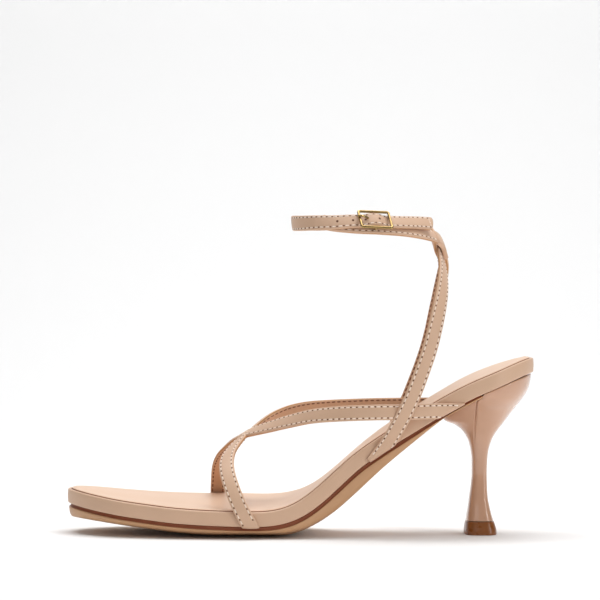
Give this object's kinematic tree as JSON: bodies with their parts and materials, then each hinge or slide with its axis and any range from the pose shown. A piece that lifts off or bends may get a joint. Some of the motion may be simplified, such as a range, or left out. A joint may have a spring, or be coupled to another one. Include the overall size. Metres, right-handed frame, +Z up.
{
  "type": "strappy heeled sandal",
  "caption": "Left high-heeled sandal with crossed thin leather straps, a buckled ankle strap, a wrapped footbed and a waisted spool heel.",
  "frame": {"origin": "centre of the top lift's bottom face, on the floor", "axes": "-X towards the toe, -Y the outer (lateral) side, +Y the inner side, +Z up from the floor"},
  "size_m": [0.2165, 0.0841, 0.1492],
  "materials": {
    "strap_leather": "smooth, satin",
    "insole_leather": "smooth, soft sheen",
    "heel_cover": "patent, glossy",
    "outsole": "moulded, satin",
    "top_lift": "polished",
    "pale_gold": "polished plate"
  },
  "bodies": {
    "root": {"outsole": "outsole", "footbed": "strap_leather", "insole_pad": "insole_leather", "heel": "heel_cover", "top_lift": "top_lift", "upper": "strap_leather", "buckle": "pale_gold", "prong": "pale_gold"}
  },
  "joints": []
}
